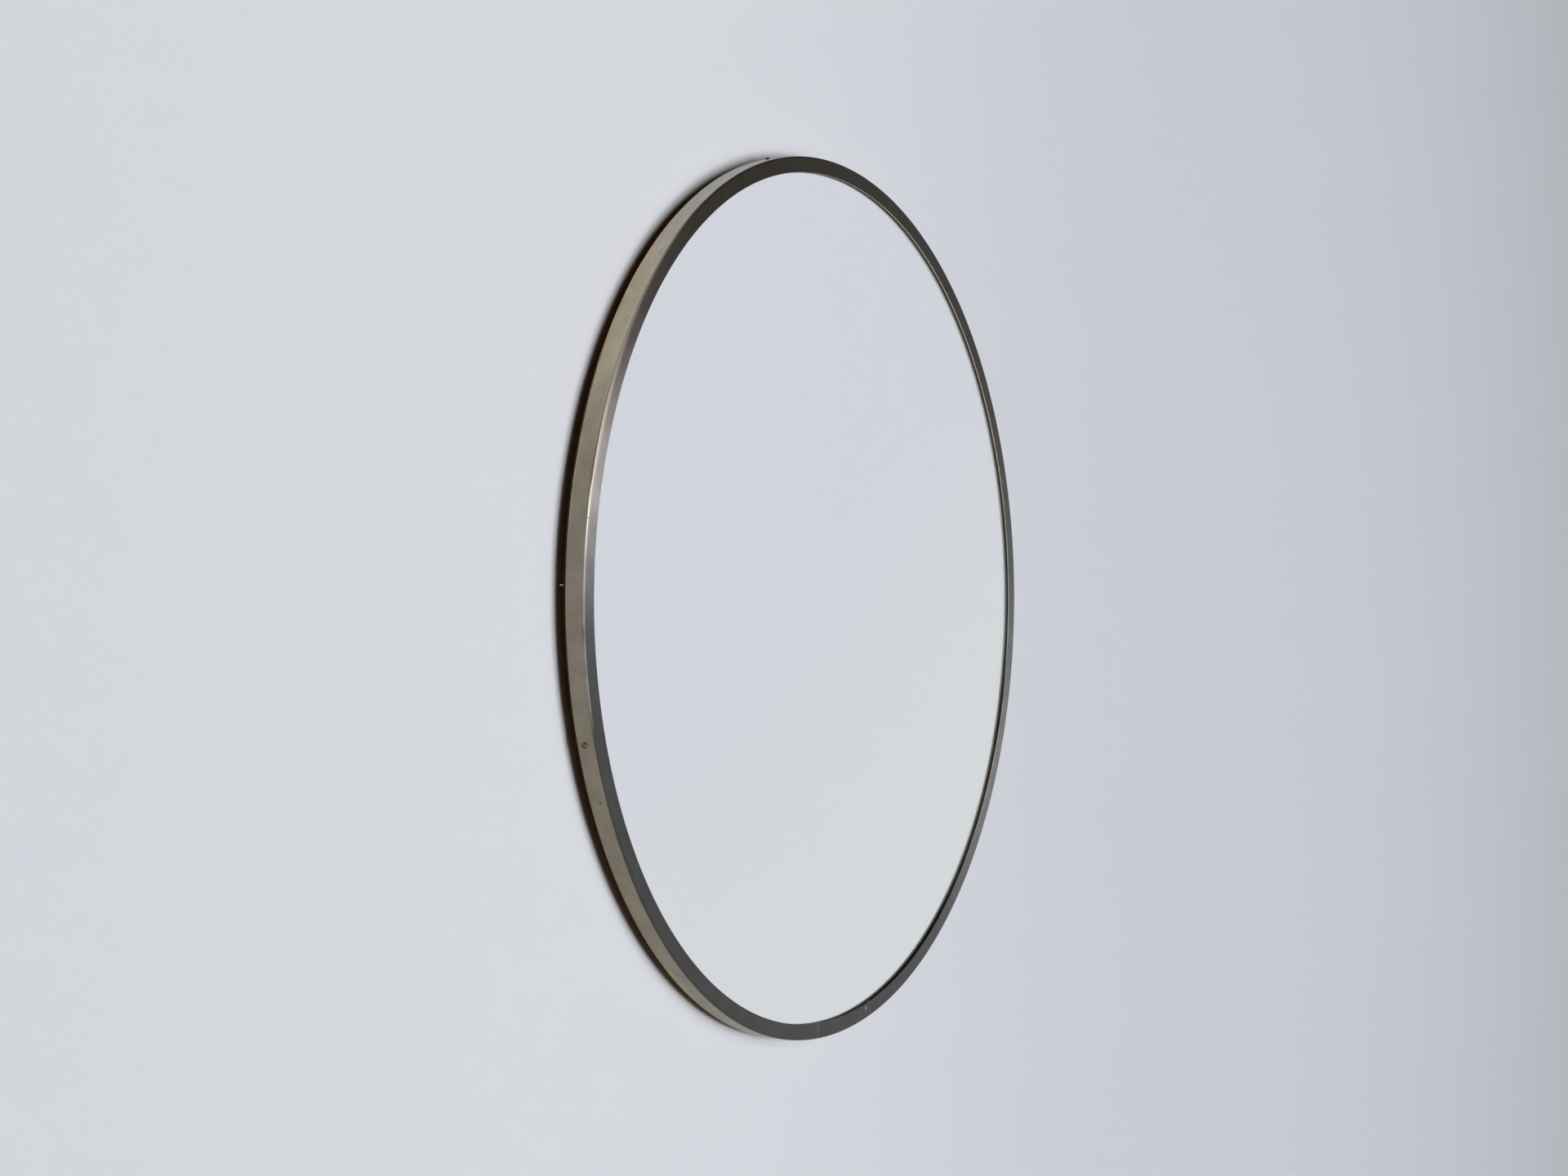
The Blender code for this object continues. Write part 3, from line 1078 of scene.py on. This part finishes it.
@dataclass
class RimScrews:
    """The round-head screws that stand round the rim's side, each turned its own way."""

    ring: Ring
    slot_turns: tuple[float, ...] = (121.0, 135.0, 75.0, 20.0)
    head_radius: float = 3.4 * MM
    head_height: float = 2.2 * MM
    shank_radius: float = 1.7 * MM
    slot_width: float = 0.9 * MM
    slot_depth: float = 1.0 * MM
    rim_gap: float = 0.3 * MM
    point_share: float = 0.04
    dome_steps: int = 10
    steps: int = 40
    material: Material = field(init=False)

    def build(self) -> list[Piece]:
        """Build each screw where its CAD node is.

        Returns:
            The screws.
        """
        self.material = DulledBrass().make()
        return [self._build_screw(i, turn) for i, turn in enumerate(self.slot_turns, start=1)]

    def _build_screw(self, index: int, turn: float) -> Piece:
        """Build one screw along Z, its head's underside at the origin, and set it in the rim.

        Args:
            index: The number in its CAD node's name.
            turn: The slot's turn in degrees from the way to the wall.

        Returns:
            The screw.
        """
        node = f"rim_screw_{index}"
        low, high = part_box(node)
        middle = (low + high) / 2
        offset = middle - self.ring.centre
        outward = Vector((offset.x, 0.0, offset.z))
        angle = math.degrees(math.atan2(outward.z, outward.x))
        shape = bmesh.new()
        self._turn_head(shape)
        self._cut_slot(shape)
        self._turn_shank(shape, outward.length)
        swing = Matrix.Rotation(math.radians(-angle), 4, "Y")
        stand = Matrix.Rotation(math.radians(90), 4, "Y")
        roll = Matrix.Rotation(math.radians(turn), 4, "Z")
        seat = self.ring.radius + self.rim_gap
        centre = Matrix.Translation((self.ring.centre.x, middle.y, self.ring.centre.z))
        # Local X, which the slot runs along, starts towards the wall
        to_wall = Matrix.Rotation(math.radians(-90), 4, "Z")
        place = centre @ swing @ Matrix.Translation((seat, 0.0, 0.0)) @ stand @ to_wall @ roll
        bmesh.ops.transform(shape, matrix=place, verts=shape.verts)
        return add_piece(shape, f"rim_screw_head_{index}", self.material, node, TURNED_SHARP)

    def _turn_head(self, shape: Shape) -> None:
        """Turn the dome of the head and its flat underside.

        Args:
            shape: The empty bmesh that gets the head.
        """
        height = self.head_height
        dome_radius = (self.head_radius**2 + height**2) / (2 * height)
        full = math.asin(self.head_radius / dome_radius)
        last = shape.verts.new((0.0, 0.0, height))
        for step in range(1, self.dome_steps + 1):
            tilt = full * step / self.dome_steps
            across = dome_radius * math.sin(tilt)
            up = dome_radius * math.cos(tilt) - dome_radius + height
            vert = shape.verts.new((across, 0.0, up))
            shape.edges.new((last, vert))
            last = vert
        shape.edges.new((last, shape.verts.new((self.shank_radius, 0.0, 0.0))))
        spin_section(shape, Vector(), self.steps, Vector((0.0, 0.0, 1.0)))
        bmesh.ops.remove_doubles(shape, verts=shape.verts, dist=WELD)

    def _cut_slot(self, shape: Shape) -> None:
        """Sink a straight slot into the crown of the dome, and mark its faces for grime and painted shade.

        Args:
            shape: The bmesh that holds the head.
        """
        floor = self.head_height - self.slot_depth
        half = self.slot_width / 2
        planes = (
            ((0.0, half, 0.0), (0.0, 1.0, 0.0)),
            ((0.0, -half, 0.0), (0.0, 1.0, 0.0)),
            ((0.0, 0.0, floor), (0.0, 0.0, 1.0)),
        )
        for point, normal in planes:
            everything = [*shape.verts, *shape.edges, *shape.faces]
            bmesh.ops.bisect_plane(shape, geom=everything, plane_co=point, plane_no=normal, dist=WELD)
        # The slot's faces are marked for grime and painted shade
        grime_and_shade = shape.faces.layers.float.new(SLOT_GRIME_AND_SHADE)
        sunk = []
        for face in shape.faces:
            middle = face.calc_center_median()
            if abs(middle.y) < half and middle.z > floor:
                sunk.append(face)
        dome = set(shape.faces) - set(sunk)
        grown = bmesh.ops.extrude_face_region(shape, geom=sunk)
        for item in grown["geom"]:
            if isinstance(item, bmesh.types.BMVert):
                item.co.z = floor
        for face in shape.faces:
            face[grime_and_shade] = 0.0 if face in dome else 1.0
        bmesh.ops.remove_doubles(shape, verts=shape.verts, dist=WELD)
        bmesh.ops.dissolve_degenerate(shape, edges=shape.edges, dist=WELD)

    def _turn_shank(self, shape: Shape, middle_radius: float) -> None:
        """Draw the shank out of the hole in the head's underside, down to the CAD screw's point.

        Args:
            shape: The bmesh that holds the head.
            middle_radius: How far the middle of the CAD screw is from the ring's axis.
        """
        reach = 2 * (self.ring.radius + self.rim_gap + self.head_height - middle_radius) - self.head_height
        hole = [e for e in shape.edges if e.is_boundary]
        tip = 2 * self.shank_radius
        for depth, scale in ((tip - reach, 1.0), (-reach, self.point_share)):
            grown = bmesh.ops.extrude_edge_only(shape, edges=hole)
            verts = [item for item in grown["geom"] if isinstance(item, bmesh.types.BMVert)]
            hole = [item for item in grown["geom"] if isinstance(item, bmesh.types.BMEdge)]
            for vert in verts:
                vert.co = Vector((vert.co.x * scale, vert.co.y * scale, depth))
        bmesh.ops.holes_fill(shape, edges=hole, sides=0)


@dataclass
class WallPin:
    """The pointed steel pin that stands out of the board's back."""

    ring: Ring
    radius: float = 1.6 * MM
    shoulder: float = 0.8 * MM
    shoulder_radius: float = 1.488 * MM
    point_length: float = 5.0 * MM
    point_radius: float = 0.12 * MM
    point_blunt: float = 0.1 * MM
    steps: int = 32

    def build(self) -> Piece:
        """Turn the pin where its CAD node is.

        Returns:
            The pin.
        """
        low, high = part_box("nail")
        middle = (low + high) / 2
        sections = (
            (low.y, 0.0),
            (low.y, self.radius),
            (high.y - self.point_length - self.shoulder, self.radius),
            (high.y - self.point_length, self.shoulder_radius),
            (high.y - self.point_blunt, self.point_radius),
            (high.y, 0.0),
        )
        shape = bmesh.new()
        verts = [shape.verts.new((middle.x + r, y, middle.z)) for y, r in sections]
        for first, second in zip(verts, verts[1:]):
            shape.edges.new((first, second))
        spin_section(shape, middle, self.steps)
        return add_piece(shape, "wall_pin", DrawnSteel().make(), "nail", TURNED_SHARP)


@dataclass
class HangingStrips:
    """The bevelled cleat that the mirror hangs by, and the plain strip that keeps its foot off the wall."""

    eased: float = 0.7 * MM

    def build(self) -> list[Piece]:
        """Cut both strips from the same pine.

        Returns:
            The strips.
        """
        pieces = []
        for node, role, hooked in (("hanging_cleat", "cleat", True), ("lower_spacer", "spacer", False)):
            low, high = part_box(node)
            middle = (low + high) / 2
            shape = bmesh.new()
            size = Matrix.Diagonal((*(high - low), 1.0))
            bmesh.ops.create_cube(shape, size=1.0, matrix=Matrix.Translation(middle) @ size)
            if hooked:
                thickness = high.y - low.y
                for vert in shape.verts:
                    if vert.co.y < middle.y and vert.co.z < middle.z:
                        vert.co.z += thickness
            round_off(shape, list(shape.edges), self.eased)
            pine = Timber(f"planed pine {role}", "#d3b083", "#b98a55", "#8f6437", 7 * MM)
            finish = pine.make(Vector((middle.x, high.y, middle.z)))
            pieces.append(add_piece(shape, f"pine_{role}", finish, node, SAWN_SHARP))
        return pieces


@dataclass(frozen=True)
class Lamp:
    """A square soft box: where it stands from the mirror's centre, its size and its light.

    A lamp that is direct only gives no light to what it reaches by a diffuse bounce.
    """

    name: str
    place: tuple[float, float, float]
    size: float
    power: float
    direct_only: bool = False


@dataclass
class Studio:
    """A pale wall and floor, soft light from high on the right, and the camera at the mirror's left."""

    ring: Ring
    wall_left: float = -5.0
    wall_right: float = 6.0
    wall_half_height: float = 2.6
    floor_drop: float = 2.7
    floor_size: float = 16.0
    wall_paint: str = "#dadde3"
    # Painted shade: the wall's colour towards the right
    wall_shaded: str = "#caced5"
    # Painted shade: the wall's colour behind the board
    wall_shade_behind_board: str = "#8c755c"
    wall_shade_fade: tuple[float, float] = (-0.7, 1.1)
    shade_behind_board_softness: float = 5 * MM
    roller_nap: float = 3 * MM
    roller_relief: float = 0.03 * MM
    floor_paint: str = "#e4e1dc"
    room: str = "#e3e5e8"
    room_cool: str = "#dfdfe8"
    ceiling: str = "#51483c"
    ceiling_fade: tuple[float, float] = (0.22, 0.484)
    room_dim: float = 0.12
    camera_distance: float = 5.249
    camera_side: float = 61.27
    camera_rise: float = 0.1
    camera_heading: float = 60.0
    camera_tilt: float = 0.15
    lens: float = 52.56
    key: Lamp = Lamp("key softbox", (0.35, -8.9, -0.85), 3.1, 530.0)
    fill: Lamp = Lamp("fill softbox", (0.35, -8.9, 1.9), 3.6, 165.0)
    crown: Lamp = Lamp("top softbox", (-0.9, -1.1, 2.1), 2.6, 122.0)
    glint: Lamp = Lamp("right softbox", (1.7, -3.9, 0.76), 0.8, 200.0)
    back: Lamp = Lamp("back softbox", (0.6, 3.0, 0.9), 1.4, 62.0, direct_only=True)
    overhead_strength: float = 2.3
    overhead_angle: float = 60.0

    def build(self, mirror: list[Piece], rim: Piece, fittings: list[Piece], timber: list[Piece]) -> None:
        """Build the stage, the lights and the camera.

        Args:
            mirror: The glass and its silver, which no soft box shows in.
            rim: The rim.
            fittings: The screws and the pin.
            timber: The board and the strips behind it.
        """
        metal = [rim, *fittings]
        self._build_wall()
        floor = self._build_floor()
        self._build_room()
        self._link(self._add_lamp(self.key), "EXCLUDE", [*mirror, *metal], [floor])
        self._link(self._add_lamp(self.fill), "EXCLUDE", [*mirror, *metal], [floor])
        self._link(self._add_lamp(self.crown), "INCLUDE", [rim, *timber], [])
        self._link(self._add_lamp(self.glint), "INCLUDE", metal, [])
        self._link(self._add_lamp(self.back), "INCLUDE", [*metal, *timber], [*metal, *timber])
        self._link(self._add_overhead(), "INCLUDE", [floor], [floor])
        self._build_camera()
        bpy.context.scene.view_settings.view_transform = "Standard"

    def _add_plane(self, name: str, corner: Vector, across: Vector, up: Vector) -> Piece:
        """Add a stage plane.

        Args:
            name: The plane's name.
            corner: One of its corners.
            across: The side from that corner that runs across.
            up: The side from that corner that runs up.

        Returns:
            The plane.
        """
        shape = bmesh.new()
        bmesh.ops.create_grid(shape, x_segments=1, y_segments=1, size=0.5)
        normal = across.cross(up).normalized()
        frame = Matrix((across, up, normal)).transposed().to_4x4()
        middle = corner + (across + up) / 2
        bmesh.ops.transform(shape, matrix=Matrix.Translation(middle) @ frame, verts=shape.verts)
        mesh = bpy.data.meshes.new(name)
        shape.to_mesh(mesh)
        shape.free()
        plane = bpy.data.objects.new(name, mesh)
        bpy.context.scene.collection.objects.link(plane)
        return plane

    def _build_wall(self) -> None:
        """Add the painted wall, which is clear from behind so that the mirror's back can be seen."""
        corner = Vector((self.wall_left, 0.0, self.ring.centre.z - self.wall_half_height))
        across = Vector((self.wall_right - self.wall_left, 0.0, 0.0))
        wall = self._add_plane("wall", corner, across, Vector((0.0, 0.0, 2 * self.wall_half_height)))
        paint = new_material("matt wall paint")
        place = add_node(paint, "TexCoord").node.outputs["Object"]
        roller = add_node(paint, "TexNoise", {"Vector": place, "Scale": 1 / self.roller_nap, "Detail": 2.0})
        bump = add_node(paint, "Bump", {"Height": roller, "Distance": self.roller_relief, "Strength": 0.5})
        across = add_node(paint, "SeparateXYZ", {"Vector": place}).node.outputs["X"]
        # Painted shade: the wall is painted darker towards the right
        colour = cover(paint, srgb(self.wall_paint), srgb(self.wall_shaded), (across, *self.wall_shade_fade))
        # Painted shade: behind the board the wall is painted dark and warm, for the little light that gets in
        # there, warmed by the wood
        radius = measure_off_axis(paint, place, self.ring.centre)
        behind_board = (radius, self.ring.radius, self.ring.radius - self.shade_behind_board_softness)
        shaded_wall = cover(paint, colour, srgb(self.wall_shade_behind_board), behind_board)
        matt = add_node(paint, "BsdfDiffuse", {"Color": shaded_wall, "Roughness": 0.3, "Normal": bump})
        clear = add_node(paint, "BsdfTransparent")
        behind = add_node(paint, "NewGeometry").node.outputs["Backfacing"]
        surface = add_node(paint, "MixShader", {0: behind, 1: matt, 2: clear})
        add_node(paint, "OutputMaterial", {"Surface": surface})
        wall.data.materials.append(paint)

    def _build_floor(self) -> Piece:
        """Add the pale floor, well below the mirror.

        Returns:
            The floor.
        """
        half = self.floor_size / 2
        corner = Vector((-half, -half, self.ring.centre.z - self.floor_drop))
        across = Vector((self.floor_size, 0.0, 0.0))
        floor = self._add_plane("floor", corner, across, Vector((0.0, self.floor_size, 0.0)))
        paint = new_material("pale floor paint")
        place = add_node(paint, "TexCoord").node.outputs["Object"]
        cloud = add_node(paint, "TexNoise", {"Vector": place, "Scale": 3.0, "Detail": 3.0})
        rough = add_node(paint, "MapRange", {"Value": cloud, "To Min": 0.7, "To Max": 0.85})
        shader = add_node(paint, "BsdfPrincipled", {"Base Color": srgb(self.floor_paint), "Roughness": rough})
        add_node(paint, "OutputMaterial", {"Surface": shader})
        floor.data.materials.append(paint)
        return floor

    def _build_room(self) -> None:
        """Make the rest of the room: pale to look at and in reflections, dim as a light."""
        world = bpy.data.worlds.new("pale room")
        world.use_nodes = True
        world.node_tree.nodes.clear()
        bpy.context.scene.world = world
        heading = add_node(world, "TexCoord").node.outputs["Generated"]
        height = add_node(world, "SeparateXYZ", {"Vector": heading}).node.outputs["Z"]
        cloud = add_node(world, "TexNoise", {"Vector": heading, "Scale": 3.2, "Detail": 1.0})
        cooler = add_node(world, "MapRange", {"Value": cloud, "From Min": 0.38, "From Max": 0.62})
        tones = {"Factor": cooler, "A": srgb(self.room), "B": srgb(self.room_cool)}
        walls = add_node(world, "Mix", tones, data_type="RGBA")
        tone = cover(world, walls, srgb(self.ceiling), (height, *self.ceiling_fade))
        scattered = add_node(world, "LightPath").node.outputs["Is Diffuse Ray"]
        strength = add_node(world, "MapRange", {"Value": scattered, "To Min": 1.0, "To Max": self.room_dim})
        glow = add_node(world, "Background", {"Color": tone, "Strength": strength})
        add_node(world, "OutputWorld", {"Surface": glow})
        world.cycles.sampling_method = "NONE"

    def _add_lamp(self, lamp: Lamp) -> Piece:
        """Add a square area light that faces the mirror.

        Args:
            lamp: The lamp.

        Returns:
            The light's object.
        """
        light = bpy.data.lights.new(lamp.name, "AREA")
        light.shape = "SQUARE"
        light.size = lamp.size
        light.energy = lamp.power
        stand = bpy.data.objects.new(lamp.name, light)
        bpy.context.scene.collection.objects.link(stand)
        offset = Vector(lamp.place)
        aim = (-offset).to_track_quat("-Z", "Y").to_matrix().to_4x4()
        stand.matrix_world = Matrix.Translation(self.ring.centre + offset) @ aim
        if lamp.direct_only:
            self._limit_bounces(light)
        return stand

    def _limit_bounces(self, light: bpy.types.Light) -> None:
        """Make a light give nothing to what is seen by a diffuse bounce.

        Args:
            light: The light.
        """
        light.use_nodes = True
        light.node_tree.nodes.clear()
        bounces = add_node(light, "LightPath").node.outputs["Diffuse Depth"]
        direct = add_node(light, "Math", {0: bounces, 1: 0.5}, operation="LESS_THAN")
        glow = add_node(light, "Emission", {"Strength": direct})
        add_node(light, "OutputLight", {"Surface": glow})

    def _add_overhead(self) -> Piece:
        """Add the even light from above that keeps the floor pale.

        Returns:
            The light's object.
        """
        light = bpy.data.lights.new("floor light", "SUN")
        light.energy = self.overhead_strength
        light.angle = math.radians(self.overhead_angle)
        self._limit_bounces(light)
        stand = bpy.data.objects.new("floor light", light)
        bpy.context.scene.collection.objects.link(stand)
        return stand

    def _link(self, lamp: Piece, state: str, lit: list[Piece], shading: list[Piece]) -> None:
        """Say which objects a lamp lights, and which cast shadows from it.

        Args:
            lamp: The lamp.
            state: INCLUDE for the listed objects alone, or EXCLUDE for all the others.
            lit: The objects that the lamp lights and shows in, or doesn't.
            shading: The objects that cast a shadow from the lamp, or don't.
        """
        for kind, pieces in (("receiver", lit), ("blocker", shading)):
            if pieces:
                group = bpy.data.collections.new(f"{lamp.name} {kind}s")
                for piece in pieces:
                    group.objects.link(piece)
                for entry in group.collection_objects:
                    entry.light_linking.link_state = state
                setattr(lamp.light_linking, f"{kind}_collection", group)

    def _build_camera(self) -> None:
        """Add the camera, level with the mirror and well to its left."""
        lens = bpy.data.cameras.new("camera")
        lens.lens = self.lens
        camera = bpy.data.objects.new("camera", lens)
        bpy.context.scene.collection.objects.link(camera)
        away = self.camera_distance * self.ring.radius
        side, rise = math.radians(self.camera_side), math.radians(self.camera_rise)
        level = away * math.cos(rise)
        offset = Vector((-level * math.sin(side), -level * math.cos(side), away * math.sin(rise)))
        camera.location = self.ring.centre + offset
        upright = math.radians(90 + self.camera_tilt)
        camera.rotation_euler = (upright, 0.0, math.radians(-self.camera_heading))
        bpy.context.scene.camera = camera


def main() -> None:
    """Load the frame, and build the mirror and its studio."""
    logging.basicConfig(level=logging.INFO, format="%(name)s: %(message)s")
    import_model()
    ring = Ring.of_frame()
    rim = BronzeRim(ring).build()
    mirror = GlassPlate(ring).build()
    board = BackingBoard(ring).build()
    screws = RimScrews(ring).build()
    pin = WallPin(ring).build()
    strips = HangingStrips().build()
    Studio(ring).build(mirror, rim, [*screws, pin], [board, *strips])


if __name__ == "__main__":
    main()
